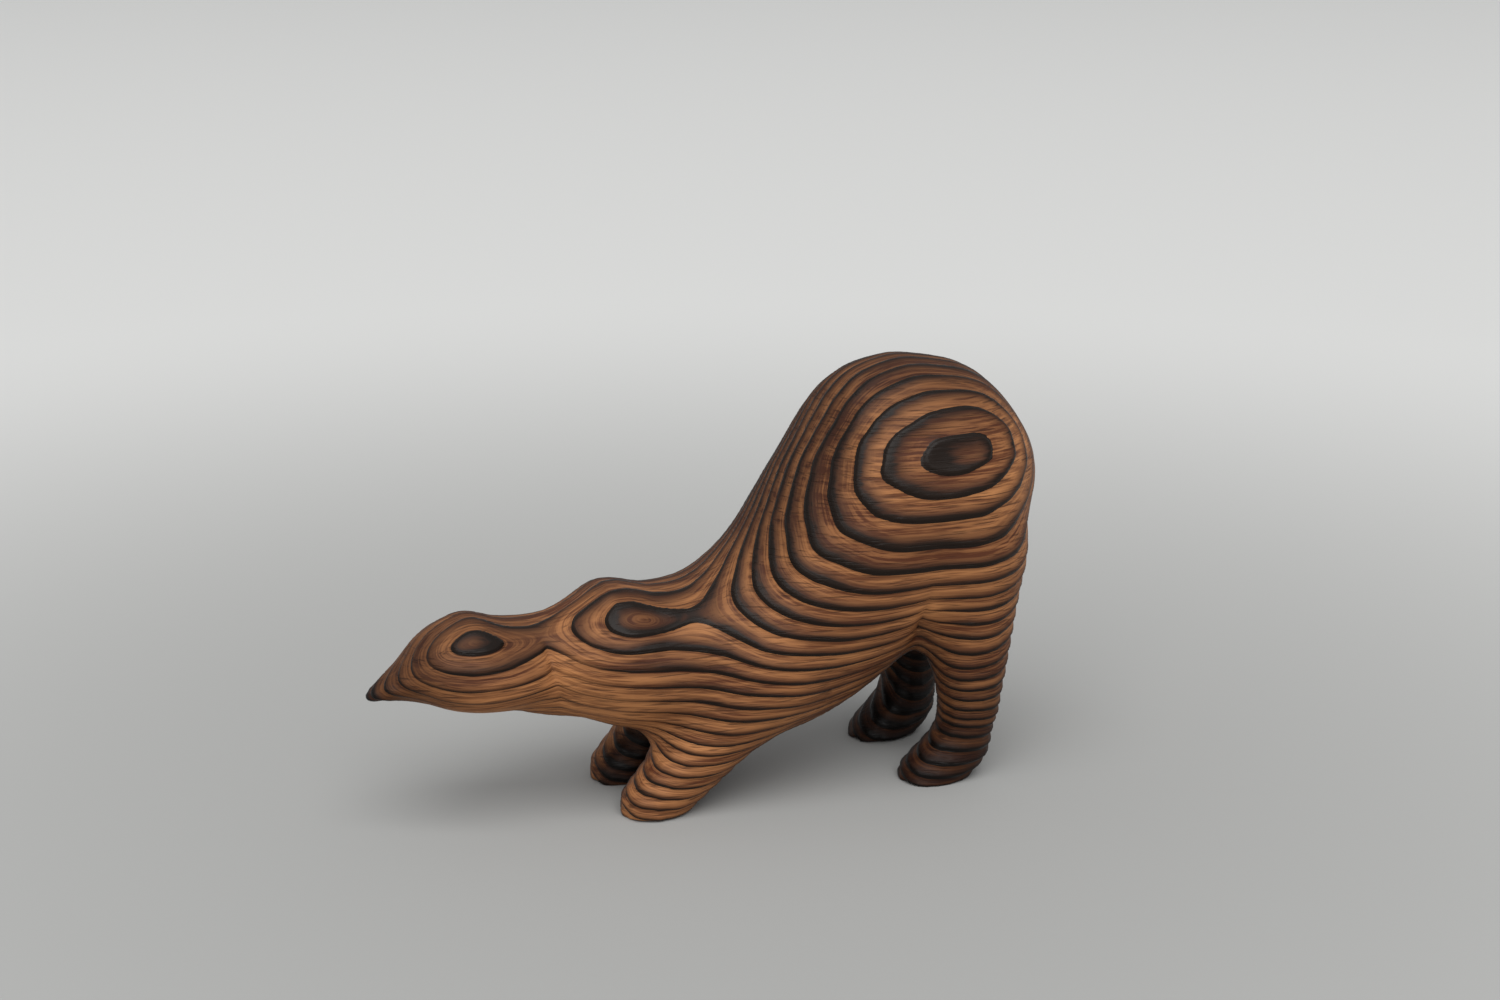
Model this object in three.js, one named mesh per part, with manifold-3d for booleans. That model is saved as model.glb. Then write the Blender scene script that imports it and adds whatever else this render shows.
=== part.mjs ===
// Badger figurine carved from one block of softwood: head low, rump high, four short legs.
// Millimetres, +X toward the nose, +Y toward the animal's left, +Z up, soles on z = 0.
// The carving is shaped as one smooth form and then divided along flat faces
// into head, trunk and four legs, so that every pair of neighbours shares the same face.
import * as THREE from "three";
import { mergeVertices } from "three/addons/utils/BufferGeometryUtils.js";
import Module from "manifold-3d";

// Size of the carving: rump to nose, sole to top of the rump, side to side of the rump.
const LENGTH = 97.5;
const HEIGHT = 60.0;
const WIDTH = 34.6;
// How far the rounding of the rump and of the nose tip reaches inward from each end.
const RUMP_ROUNDING = 16.0;
const NOSE_ROUNDING = 1.8;

// Outline of head and trunk in proportion: place along the length from the rump,
// back line and belly line as shares of the height, half width as a share of half the width.
const STATIONS = [
  { at: 0.00, back: 0.93, belly: 0.51, half: 0.90 },
  { at: 0.08, back: 0.98, belly: 0.42, half: 0.98 },
  { at: 0.15, back: 0.99, belly: 0.34, half: 1.00 },
  { at: 0.22, back: 1.00, belly: 0.27, half: 0.99 },
  { at: 0.30, back: 0.95, belly: 0.18, half: 0.96 },
  { at: 0.37, back: 0.79, belly: 0.13, half: 0.88 },
  { at: 0.44, back: 0.62, belly: 0.12, half: 0.80 },
  { at: 0.51, back: 0.53, belly: 0.14, half: 0.73 },
  { at: 0.58, back: 0.51, belly: 0.16, half: 0.70 },
  { at: 0.65, back: 0.53, belly: 0.19, half: 0.64 },
  { at: 0.70, back: 0.49, belly: 0.22, half: 0.53 },
  { at: 0.74, back: 0.47, belly: 0.23, half: 0.42 },
  { at: 0.80, back: 0.47, belly: 0.26, half: 0.46 },
  { at: 0.85, back: 0.49, belly: 0.28, half: 0.48 },
  { at: 0.89, back: 0.47, belly: 0.29, half: 0.43 },
  { at: 0.92, back: 0.44, belly: 0.30, half: 0.34 },
  { at: 0.95, back: 0.39, belly: 0.31, half: 0.22 },
  { at: 1.00, back: 0.33, belly: 0.31, half: 0.08 },
].map((s) => ({
  x: alongLength(s.at),
  back: s.back * HEIGHT,
  belly: s.belly * HEIGHT,
  half: (s.half * WIDTH) / 2,
}));
const RUMP_X = alongLength(0);
const NOSE_X = alongLength(1);

// Cheek swelling on either side of the head; its rear end makes the crease behind the jaw.
const CHEEK_HALF_LENGTH = 9.0;
const CHEEK_HALF_WIDTH = 5.5;
const CHEEK_HALF_DEPTH = 4.3;
const CHEEK = {
  ...spot(0.83, 0.20, 0.35),
  rx: CHEEK_HALF_LENGTH,
  ry: CHEEK_HALF_WIDTH,
  rz: CHEEK_HALF_DEPTH,
};
const CHEEK_BLEND = 1.4;

// Hind leg: tapering shank under the rump, then a foot that points forward.
const THIGH_RADIUS = 8.1;
const SHANK_RADIUS = 4.6;
const HEEL_RADIUS = 4.4;
const HIND_TOE_RADIUS = 4.5;
const THIGH_TOP = { ...spot(0.13, 0.50, 0.53), r: THIGH_RADIUS };
const SHANK_END = { ...spot(0.13, 0.58, 0.19), r: SHANK_RADIUS };
const HEEL = { ...spot(0.14, 0.54, 0.08), r: HEEL_RADIUS };
const HIND_TOE = { ...spot(0.19, 0.52, 0.00), r: HIND_TOE_RADIUS };
const ANKLE_BLEND = 3.8;

// Foreleg: slants forward from the elbow to the foot.
const ELBOW_RADIUS = 6.4;
const FORE_TOE_RADIUS = 4.5;
const ELBOW = { ...spot(0.43, 0.42, 0.31), r: ELBOW_RADIUS };
const FORE_TOE = { ...spot(0.61, 0.40, 0.02), r: FORE_TOE_RADIUS };

// Radius over which a leg runs into the trunk.
const LEG_BLEND = 4.6;

// Where the form is divided: a plane across the neck, and a sloping seat under the belly
// for each pair of legs. A seat follows the belly line between two places, just below it.
const NECK_X = alongLength(0.74);
const HIND_SEAT_REAR_X = alongLength(0.06);
const HIND_SEAT_FRONT_X = alongLength(0.24);
const FORE_SEAT_REAR_X = alongLength(0.43);
const FORE_SEAT_FRONT_X = alongLength(0.63);
const HIND_SEAT_BELOW_BELLY = 0.9;
const FORE_SEAT_BELOW_BELLY = 1.9;
const LEGS_APART_X = alongLength(0.33);
// Sloping seat faces lie this close together; the neck faces coincide.
const SEAT_PLAY = 0.02;

// Fineness of the faceted surface, and how often a vertex is moved onto the true form.
const FACET = 2.0;
const HEAD_FACET = 1.2;
const SETTLE_STEPS = 4;
// Room kept around the form while it is being faceted and cut.
const MARGIN = 4.0;
const CUT_REACH = 200.0;
// Step for slopes of the form.
const SLOPE_STEP = 0.05;

// Place along X of a share of the length, counted from the rump.
function alongLength(share) {
  return (share - 1 / 2) * LENGTH;
}

// Point of the left side from shares of the length, half the width and the height.
function spot(share, side, up) {
  return { x: alongLength(share), y: (side * WIDTH) / 2, z: up * HEIGHT };
}

// Smooth curve through the stations: cubic pieces whose slopes come from the neighbours.
function along(key, x) {
  const last = STATIONS.length - 1;
  const at = Math.min(Math.max(x, STATIONS[0].x), STATIONS[last].x);
  let i = 0;
  while (i < last - 1 && STATIONS[i + 1].x < at) {
    i += 1;
  }
  const slope = (j) => {
    const a = STATIONS[Math.max(j - 1, 0)];
    const b = STATIONS[Math.min(j + 1, last)];
    return (b[key] - a[key]) / (b.x - a.x);
  };
  const p = STATIONS[i];
  const q = STATIONS[i + 1];
  const span = q.x - p.x;
  const t = (at - p.x) / span;
  const u = 1 - t;
  const start = u * u * (1 + 2 * t) * p[key] + u * u * t * span * slope(i);
  const end = t * t * (1 + 2 * u) * q[key] - t * t * u * span * slope(i + 1);
  return start + end;
}

// Relative position in the oval section of the trunk: below 1 inside, above 1 outside.
function section(x, y, z) {
  const back = along("back", x);
  const belly = along("belly", x);
  const dy = y / along("half", x);
  const dz = (2 * z - back - belly) / (back - belly);
  const rear = Math.max(0, 1 - (x - RUMP_X) / RUMP_ROUNDING);
  const nose = Math.max(0, 1 - (NOSE_X - x) / NOSE_ROUNDING);
  return Math.hypot(dy, dz, rear, nose);
}

// Distance to the lofted trunk and head.
function trunkForm(x, y, z) {
  const s = SLOPE_STEP;
  const q = section(x, y, z);
  const gx = section(x + s, y, z) - section(x - s, y, z);
  const gy = section(x, y + s, z) - section(x, y - s, z);
  const gz = section(x, y, z + s) - section(x, y, z - s);
  const steepness = Math.hypot(gx, gy, gz) / (2 * s);
  return (q - 1) / Math.max(steepness, s);
}

// Distance to a limb that tapers from one ball to another.
function limb(x, y, z, a, b) {
  const dx = b.x - a.x;
  const dy = b.y - a.y;
  const dz = b.z - a.z;
  const reach = (x - a.x) * dx + (y - a.y) * dy + (z - a.z) * dz;
  const t = Math.min(Math.max(reach / (dx * dx + dy * dy + dz * dz), 0), 1);
  const off = Math.hypot(x - a.x - t * dx, y - a.y - t * dy, z - a.z - t * dz);
  return off - a.r - t * (b.r - a.r);
}

// Distance to an egg-shaped swelling.
function swelling(x, y, z, e) {
  const qx = (x - e.x) / e.rx;
  const qy = (y - e.y) / e.ry;
  const qz = (z - e.z) / e.rz;
  const q = Math.hypot(qx, qy, qz);
  const g = Math.hypot(qx / e.rx, qy / e.ry, qz / e.rz);
  return g > 0 ? (q * (q - 1)) / g : -Math.min(e.rx, e.ry, e.rz);
}

// Two forms run together over the given radius.
function blend(a, b, radius) {
  const h = Math.max(radius - Math.abs(a - b), 0) / radius;
  return Math.min(a, b) - (h * h * radius) / 4;
}

// The whole animal; both sides are alike.
function form(x, y, z) {
  const side = Math.abs(y);
  const head = blend(trunkForm(x, side, z), swelling(x, side, z, CHEEK), CHEEK_BLEND);
  const shank = limb(x, side, z, THIGH_TOP, SHANK_END);
  const hind = blend(shank, limb(x, side, z, HEEL, HIND_TOE), ANKLE_BLEND);
  const fore = limb(x, side, z, ELBOW, FORE_TOE);
  return blend(blend(head, hind, LEG_BLEND), fore, LEG_BLEND);
}

// The stretch of the animal between two planes square to X.
function stretch(rearX, frontX) {
  return (x, y, z) => Math.max(form(x, y, z), rearX - x, x - frontX);
}

// Slope of a form.
function slopeAt(shape, p) {
  const s = SLOPE_STEP;
  return new THREE.Vector3(
    shape(p.x + s, p.y, p.z) - shape(p.x - s, p.y, p.z),
    shape(p.x, p.y + s, p.z) - shape(p.x, p.y - s, p.z),
    shape(p.x, p.y, p.z + s) - shape(p.x, p.y, p.z - s),
  ).divideScalar(2 * s);
}

// Closed faceted surface of one stretch of the form: one vertex in each lattice cell that
// the surface crosses, one four-sided facet for each lattice edge that it crosses.
function facet(rearX, frontX, pitch) {
  const shape = stretch(rearX, frontX);
  const tops = STATIONS.map((s) => s.back);
  const halves = STATIONS.map((s) => s.half);
  const legReach = Math.max(THIGH_TOP.y + THIGH_TOP.r, SHANK_END.y + SHANK_END.r, ELBOW.y + ELBOW.r);
  const halfY = Math.max(...halves, legReach) + MARGIN;
  const floor = -Math.max(HIND_TOE.r, FORE_TOE.r, HEEL.r) - MARGIN;
  const low = new THREE.Vector3(rearX - MARGIN, -halfY, floor);
  const high = new THREE.Vector3(frontX + MARGIN, halfY, Math.max(...tops) + MARGIN);
  const size = high.clone().sub(low);
  const count = [size.x, size.y, size.z].map((v) => Math.ceil(v / pitch));
  const step = [size.x / count[0], size.y / count[1], size.z / count[2]];
  const [nx, ny, nz] = count.map((c) => c + 1);
  const node = (i, j, k) => (k * ny + j) * nx + i;
  const place = (i, j, k) => new THREE.Vector3(low.x + i * step[0], low.y + j * step[1], low.z + k * step[2]);
  const value = new Float64Array(nx * ny * nz);
  for (let k = 0; k < nz; k += 1) {
    for (let j = 0; j < ny; j += 1) {
      for (let i = 0; i < nx; i += 1) {
        const p = place(i, j, k);
        value[node(i, j, k)] = shape(p.x, p.y, p.z);
      }
    }
  }
  const corners = [];
  for (let c = 0; c < 8; c += 1) {
    corners.push([c & 1, (c >> 1) & 1, (c >> 2) & 1]);
  }
  const points = [];
  const vertexOf = new Map();
  for (let k = 0; k < nz - 1; k += 1) {
    for (let j = 0; j < ny - 1; j += 1) {
      for (let i = 0; i < nx - 1; i += 1) {
        const mean = crossing(corners, (c) => value[node(i + c[0], j + c[1], k + c[2])]);
        if (mean) {
          const p = new THREE.Vector3(i + mean.x, j + mean.y, k + mean.z);
          p.set(low.x + p.x * step[0], low.y + p.y * step[1], low.z + p.z * step[2]);
          vertexOf.set(node(i, j, k), points.length);
          points.push(settle(shape, p, pitch));
        }
      }
    }
  }
  const triangles = [];
  const axes = [[1, 0, 0], [0, 1, 0], [0, 0, 1]];
  for (let k = 1; k < nz - 1; k += 1) {
    for (let j = 1; j < ny - 1; j += 1) {
      for (let i = 1; i < nx - 1; i += 1) {
        axes.forEach((axis, a) => {
          const inside = value[node(i, j, k)] < 0;
          const beyond = value[node(i + axis[0], j + axis[1], k + axis[2])] < 0;
          if (inside !== beyond) {
            const u = axes[(a + 1) % 3];
            const v = axes[(a + 2) % 3];
            const cell = (m, n) => vertexOf.get(node(
              i - m * u[0] - n * v[0],
              j - m * u[1] - n * v[1],
              k - m * u[2] - n * v[2],
            ));
            const quad = [cell(1, 1), cell(0, 1), cell(0, 0), cell(1, 0)];
            addQuad(triangles, points, inside ? quad : quad.reverse());
          }
        });
      }
    }
  }
  return solidFrom(points.flatMap((p) => [p.x, p.y, p.z]), triangles);
}

// Mean of the places where the surface crosses the edges of one lattice cell.
function crossing(corners, valueAt) {
  const sum = new THREE.Vector3();
  let hits = 0;
  for (let a = 0; a < corners.length; a += 1) {
    for (let axis = 0; axis < 3; axis += 1) {
      const b = a | (1 << axis);
      const va = valueAt(corners[a]);
      const vb = valueAt(corners[b]);
      if (b !== a && va < 0 !== vb < 0) {
        const t = va / (va - vb);
        const p = new THREE.Vector3(...corners[a]);
        sum.add(p.lerp(new THREE.Vector3(...corners[b]), t));
        hits += 1;
      }
    }
  }
  return hits > 0 ? sum.divideScalar(hits) : null;
}

// A vertex moved along the slope until it lies on the form.
function settle(shape, p, pitch) {
  const limit = pitch / SETTLE_STEPS;
  for (let n = 0; n < SETTLE_STEPS; n += 1) {
    const slope = slopeAt(shape, p);
    const move = shape(p.x, p.y, p.z) / Math.max(slope.lengthSq(), SLOPE_STEP);
    p.addScaledVector(slope, -Math.min(Math.max(move, -limit), limit));
  }
  return p;
}

// Four corners as two triangles, divided along the shorter diagonal.
function addQuad(triangles, points, q) {
  const first = points[q[0]].distanceToSquared(points[q[2]]);
  const second = points[q[1]].distanceToSquared(points[q[3]]);
  if (first < second) {
    triangles.push(q[0], q[1], q[2], q[0], q[2], q[3]);
  } else {
    triangles.push(q[1], q[2], q[3], q[1], q[3], q[0]);
  }
}

const wasm = await Module();
wasm.setup();

function solidFrom(positions, index) {
  return new wasm.Manifold(new wasm.Mesh({
    numProp: 3,
    vertProperties: new Float32Array(positions),
    triVerts: new Uint32Array(index),
  }));
}

function solidFromGeometry(geometry) {
  geometry.deleteAttribute("normal");
  geometry.deleteAttribute("uv");
  const merged = mergeVertices(geometry);
  return solidFrom(merged.attributes.position.array, merged.index.array);
}

// All that lies on one side of a plane square to X or Y.
function halfSpace(axis, sign, at) {
  const box = new THREE.BoxGeometry(CUT_REACH, CUT_REACH, CUT_REACH);
  const shift = at + (sign * CUT_REACH) / 2;
  box.translate(axis === "x" ? shift : 0, axis === "y" ? shift : 0, 0);
  return solidFromGeometry(box);
}

// All that lies below a face through the given point, tilted about Y.
function below(point, tilt) {
  const box = new THREE.BoxGeometry(CUT_REACH, CUT_REACH, CUT_REACH);
  box.translate(0, 0, -CUT_REACH / 2);
  box.rotateY(tilt);
  box.translate(point.x, point.y, point.z);
  return solidFromGeometry(box);
}

// All that lies below the sloping seat of one pair of legs.
function belowSeat(rearX, frontX, drop) {
  const rear = new THREE.Vector3(rearX, 0, along("belly", rearX) - drop);
  const front = new THREE.Vector3(frontX, 0, along("belly", frontX) - drop);
  const tilt = Math.atan2(rear.z - front.z, front.x - rear.x);
  return below(rear.lerp(front, 1 / 2), tilt);
}

const ahead = halfSpace("x", 1, NECK_X);
const front = halfSpace("x", 1, LEGS_APART_X).subtract(ahead);
const rear = halfSpace("x", -1, LEGS_APART_X);
const left = halfSpace("y", 1, 0);
const right = halfSpace("y", -1, 0);

// Region of each pair of legs: the room cut from the trunk, and the legs' own room in it.
function foreRoom(play) {
  return belowSeat(FORE_SEAT_REAR_X, FORE_SEAT_FRONT_X, FORE_SEAT_BELOW_BELLY + play).intersect(front);
}

function hindRoom(play) {
  return belowSeat(HIND_SEAT_REAR_X, HIND_SEAT_FRONT_X, HIND_SEAT_BELOW_BELLY + play).intersect(rear);
}

const ground = below(new THREE.Vector3(), 0);
const body = facet(RUMP_X, NECK_X + MARGIN, FACET).subtract(ground);
const head = facet(NECK_X - MARGIN, NOSE_X, HEAD_FACET).intersect(ahead);
const trunk = body.subtract(ahead).subtract(foreRoom(0)).subtract(hindRoom(0));
const forelegs = body.intersect(foreRoom(SEAT_PLAY));
const hindLegs = body.intersect(hindRoom(SEAT_PLAY));

// Middle of the outline in X, so that the finished part stands over its own centre.
const middleX = (body.boundingBox().min[0] + head.boundingBox().max[0]) / 2;

function piece(name, solid, color, roughness) {
  const mesh = solid.getMesh();
  const geometry = new THREE.BufferGeometry();
  geometry.setAttribute("position", new THREE.Float32BufferAttribute(mesh.vertProperties, mesh.numProp));
  geometry.setIndex(Array.from(mesh.triVerts));
  geometry.translate(-middleX, 0, 0);
  const shape = mergeVertices(geometry);
  shape.computeVertexNormals();
  const material = new THREE.MeshStandardMaterial({ color, roughness, metalness: 0 });
  const result = new THREE.Mesh(shape, material);
  result.name = name;
  return result;
}

// Burnt and brushed softwood: tan on the lit forelegs, darker toward the hind feet.
const part = new THREE.Group();
part.name = "badger_figurine";
part.add(piece("trunk", trunk, "#7d5437", 0.52));
part.add(piece("head", head, "#79563f", 0.5));
part.add(piece("left_foreleg", forelegs.intersect(left), "#8d6242", 0.55));
part.add(piece("right_foreleg", forelegs.intersect(right), "#7a543a", 0.55));
part.add(piece("left_hind_leg", hindLegs.intersect(left), "#6c4933", 0.52));
part.add(piece("right_hind_leg", hindLegs.intersect(right), "#5f4130", 0.52));

export default part;
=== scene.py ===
"""Looks of a small badger carved from one block of softwood, burnt, brushed and oiled."""

import bpy
import numpy as np
from bpy.props import FloatProperty, FloatVectorProperty, IntProperty, PointerProperty
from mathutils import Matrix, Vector


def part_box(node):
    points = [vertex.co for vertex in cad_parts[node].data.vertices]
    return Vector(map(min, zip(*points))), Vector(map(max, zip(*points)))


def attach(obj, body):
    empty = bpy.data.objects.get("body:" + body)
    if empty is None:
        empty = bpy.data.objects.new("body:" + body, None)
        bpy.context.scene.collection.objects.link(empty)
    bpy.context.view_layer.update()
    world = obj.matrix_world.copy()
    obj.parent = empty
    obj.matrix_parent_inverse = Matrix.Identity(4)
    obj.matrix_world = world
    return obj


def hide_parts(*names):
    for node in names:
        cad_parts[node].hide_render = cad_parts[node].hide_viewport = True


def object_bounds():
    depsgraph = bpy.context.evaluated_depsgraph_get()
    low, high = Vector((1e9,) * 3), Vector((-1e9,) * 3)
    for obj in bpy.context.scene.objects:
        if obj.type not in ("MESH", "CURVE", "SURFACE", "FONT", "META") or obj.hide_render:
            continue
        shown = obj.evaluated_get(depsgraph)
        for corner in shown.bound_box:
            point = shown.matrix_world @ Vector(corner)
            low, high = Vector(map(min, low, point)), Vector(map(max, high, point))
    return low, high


bl_info = {
    "name": "Badger figurine",
    "version": (1, 0, 0),
    "blender": (4, 5, 0),
    "location": "View3D > Sidebar > Badger",
    "description": "Dresses the carved badger: brushed growth rings, burnt and oiled softwood",
    "category": "Object",
}

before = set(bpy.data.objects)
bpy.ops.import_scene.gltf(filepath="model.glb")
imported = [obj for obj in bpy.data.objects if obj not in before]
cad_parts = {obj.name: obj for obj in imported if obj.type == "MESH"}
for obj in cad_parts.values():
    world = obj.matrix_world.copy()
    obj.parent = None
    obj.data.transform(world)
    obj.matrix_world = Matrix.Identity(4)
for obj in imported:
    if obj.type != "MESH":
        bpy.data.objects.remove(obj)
CAD_LOW, CAD_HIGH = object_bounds()

BODY = "root"
MEMBERS = ("trunk", "head", "left_foreleg", "right_foreleg", "left_hind_leg", "right_hind_leg")
BLOCK = "carved_block"
MM = 0.001

# Distance from the pith to the first ring that shows, and the width of the rings by their number,
# good years and lean ones, in millimetres.
HEART_RADIUS = 14.2
RING_YEARS = (
    (0, 0.7), (1, 1.8), (3, 2.9), (4, 2.9), (7, 2.1), (9, 1.9),
    (15, 1.9), (17, 1.3), (19, 1.6), (31, 1.6),
)

# Local swells of the rings in the grown wood: place and reach in millimetres, how many times longer
# the swell is along the grain, and its lift in millimetres.
RING_SWELLS = (
    (-18, 4, 54, 4.0, 1, 1.4),  # front of the rump
    (-36, 10, 56, 6.0, 1, -0.6),  # top of the rump
    (-27, 15, 48.5, 3.0, 1, -0.25),  # left of the heart of the rump
    (-32, 14, 52, 1.5, 2.5, 0.25),  # above the heart
    (-31, 16, 46.3, 1.5, 2.5, -0.25),  # below the heart
    (-38, 16, 43, 5.0, 1, 0.8),  # behind the heart
    (-41, 16, 26, 7.0, 1, 1.0),  # back of the thigh
    (-23, 17, 35, 5.0, 1, -0.6),  # flank
    (-15, 12, 17, 6.0, 1, -1.1),  # belly
    (-30, 12, 17, 4.5, 1, -1.6),  # groin
    (-35, 14, 9, 4.0, 1, 1.3),  # ankle
    (1, 4, 31, 6.0, 1, 0.7),  # withers
    (15, 2, 31, 2.5, 1, 1.4),  # nape
    (20, 3, 28, 3.0, 1, -0.6),  # neck
    (9, 12, 23, 6.0, 1, 1.1),  # shoulder
    (10.8, 8, 28.2, 1.6, 2.0, -1.6),  # eye of wood above the shoulder
    (16, 7, 15, 4.0, 1, -0.7),  # throat
    (12, 10, 2, 4.0, 1, 0.5),  # forefoot
    (33.7, 5.8, 27.2, 1.3, 4, -1.0),  # eye of wood on the head
    (31, 9, 21, 4.0, 1, 0.5),  # jaw
    (42, 3, 24, 4.0, 1, -1.2),  # nose
)

# Fine unrest of the rings: waves per metre along the grain and round the pith, start, size in rings.
RING_WAVES = (
    (24.0, 30.0, 0.4, 0.045),
    (43.0, -22.0, 2.1, 0.030),
    (77.0, 60.0, 4.4, 0.016),
    (15.0, 95.0, 1.2, 0.030),
    (130.0, -120.0, 5.3, 0.010),
)

# Distance from the pith at which turns round it are measured, in millimetres.
TURN_RADIUS = 40.0

# Creases cut with the knife on either side, in millimetres: the places along each, with its depth there.
CHEEK_CREASE = (
    (25.0, 4.6, 26.6, 0.0),
    (24.4, 6.6, 24.2, 0.8),
    (24.0, 7.4, 21.1, 0.9),
    (23.2, 6.6, 17.6, 0.6),
    (22.8, 3.5, 14.8, 0.0),
)
GROIN_CREASE = (
    (-28.5, 5.0, 19.0, 1.3),
    (-27.7, 10.5, 21.2, 1.9),
    (-27.1, 12.8, 23.2, 1.6),
    (-26.9, 14.4, 25.9, 1.0),
    (-27.0, 15.6, 28.9, 0.4),
    (-27.5, 16.5, 32.0, 0.0),
)

# Each crease with its width in millimetres.
CREASES = ((CHEEK_CREASE, 0.85), (GROIN_CREASE, 1.0))

# Where the flame stayed longer or shorter: place, reach in millimetres and share of a ring. Some spots are
# painted light rather than burn: painted highlights along the creases, and partly painted shade on the
# front of the rump and the hind feet.
BURN_AND_PAINTED_LIGHT_SPOTS = (
    (16, 10, 18, 6.0, -0.34),  # chest
    # Painted highlight along the crease behind the cheek.
    (22, 8, 22, 3.0, -0.22),  # neck behind the jaw
    (34, 9, 19.5, 4.5, -0.30),  # lips
    (41, 4, 23, 4.0, -0.24),  # snout
    (49, 0, 19, 1.8, 0.60),  # tip of the nose
    (36, 7, 24, 2.5, 0.16),  # below the eye of wood on the head
    (7, 11, 7, 7.0, -0.07),  # foreleg
    # Painted highlights along the crease in the groin, and next along the crease behind the cheek.
    (-27, 15, 27, 3.0, -0.22),  # groin
    (-27.2, 14.8, 27.5, 1.0, -0.35),  # edge of the crease in the groin
    (23.2, 7.4, 22.0, 1.2, -0.30),  # edge of the crease behind the cheek
    (-45, 10, 34, 8.0, -0.08),  # back of the rump
    (-25, 16, 46, 7.0, 0.14),  # left of the heart
    (-31, 15, 49, 2.5, 0.20),  # heart
    (-28.3, 16, 48.5, 1.6, 0.40),  # left end of the heart
    (9, 10, 26, 7.0, 0.20),  # shoulder
    (12, 8, 28, 4.0, 0.24),  # eye of wood above the shoulder
    (4.5, 9.5, 28.3, 2.8, -0.38),  # behind the eye of wood
    (34, 5, 27, 4.0, 0.10),  # head
    (33, 6, 26.5, 1.8, 0.28),  # eye of wood on the head
    (-12, 14, 30, 10.0, 0.10),  # flank
    (-37, 15, 25, 9.0, 0.10),  # hip
    # Partly painted shade: the front of the rump, which faces away from the lamp.
    (-10, 0, 43, 10.0, 0.14),  # front of the rump
    (-27, 0, 60, 10.0, 0.10),  # top of the rump
    # Partly painted shade: the hind feet, low under the body.
    (-31, 11, 3, 7.0, 0.14),  # hind feet
)

# Where soot stays in the wood, with painted sheen greying the top of the shoulder and the bridge of the
# nose: place, reach in millimetres and share.
SOOT_AND_SHEEN_SPOTS = (
    (9, 8, 29, 7.0, 0.34),  # shoulder
    (40, 3, 26, 4.5, 0.60),  # bridge of the nose
)

# Soot and painted light on whole sides of the badger: painted sheen greying and darkening the
# upward-facing back and crown, painted shade on the front slope of the rump and between the legs, soot
# with painted shade on the hind legs, and soot on the nose. Each has its share, and where it comes in,
# from none to full. Heights and lengths are in millimetres, that of the nose on a slant; the other pairs
# say how far the surface looks up, out or in.
# Painted sheen and shade: the upward-facing back greyed and darkened.
BACK_PAINTED_SHEEN = 0.55
BACK_LOOKS_UP = (0.2, 0.95)
BACK_HEIGHT = (20, 40)
# Painted shade: the front slope of the rump, which faces away from the lamp, darkened.
SLOPE_PAINTED_SHADE = 0.6
SLOPE_NORMAL = (0.8, 0, 0.6)
SLOPE_LOOKS_OUT = (0.55, 1.0)
SLOPE_HEIGHT = (26, 40)
NOSE_SOOT = 0.85
NOSE_SLANT = 0.3
NOSE_LENGTH = (38, 52)
# Painted sheen and shade: the upward-facing crown of the head greyed and darkened.
CROWN_PAINTED_SHEEN = 0.5
CROWN_LOOKS_UP = (0.1, 0.9)
CROWN_LENGTH = (16, 30)
# Partly soot, partly painted shade: the hind legs grow darker towards the floor.
HIND_LEGS_SOOT_AND_SHADE = 0.95
HIND_LEGS_HEIGHT = (26, 3)
HIND_LEGS_LENGTH = (-15, -25)
# Painted shade between the legs, partly soot: the inner sides of the legs darkened, with extra burn.
INNER_LEGS_SHADE_AND_SOOT = 0.97
INNER_LEGS_SHADE_BURN = 0.2
INNER_LEGS_LOOK_IN = (0.0, 0.7)
INNER_LEGS_HEIGHT = (24, 17)
INNER_LEGS_LENGTH = (22, 16)

# The block: corners nearer than this in millimetres are one, and a round of smoothing pulls the surface
# in and lets it out again, each with its factor and its passes.
WELD = 0.001
SMOOTHING = ((0.5, 6), (-0.52, 5))

# Brushed relief across a ring: height of its soft floor as a share of its end, the stretch over which it
# rises, and the least and the largest share of the ring that its outer edge takes.
SOFT_HEIGHT = 0.1
RISE = (0.15, 0.9)
EDGE_SHARES = (0.02, 0.3)

# Rings that show narrower than this in millimetres are brushed less deep, and burnt wood deeper.
DEEP_WIDTH = 1.6
WIDTH_DEPTHS = (0.55, 1.0)
BURN_DEEPENS = 1.5
BURN_DEPTHS = (0.4, 1.2)

# Division into members: how near the knife joins points in metres, how alike the normals are and how near
# in millimetres the triangles lie that make one seat, how far a seat looks up, and the most corners
# that a face of the skin has.
CUT_JOINS = 1e-8
SAME_NORMAL = 0.9999
SAME_PLANE = 0.02
SEAT_LOOKS_UP = 0.3
SKIN_CORNERS = 8

# Fibres: waves per metre along the grain, across it and through it, detail and roughness. Flecks are the
# peaks of theirs. Where the surface faces up or down, across and through change places.
FIBRES = {
    "Fine": ((110, 350, 2800), 3.0, 0.6),
    "Broad": ((40, 160, 900), 3.0, 0.55),
    "Fleck": ((200, 500, 4200), 1.0, 0.4),
}
FLECKS = (0.58, 0.72)
TOP_FACING = (0.6, 0.9)

# Streaks that run with the rings: waves per metre along the grain and upwards, waves per ring, detail and
# roughness. Outwards from the heart, ring by ring, they take a larger share of the fine fibres.
STREAKS_LENGTHWISE = 110.0
STREAKS_UPWARDS = 160.0
STREAKS_PER_RING = 9.0
STREAK_DETAIL = 3.0
STREAK_ROUGHNESS = 0.65
STREAK_RINGS = (2.0, 4.5)
STREAK_SHARES = (0.15, 0.75)

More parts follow.
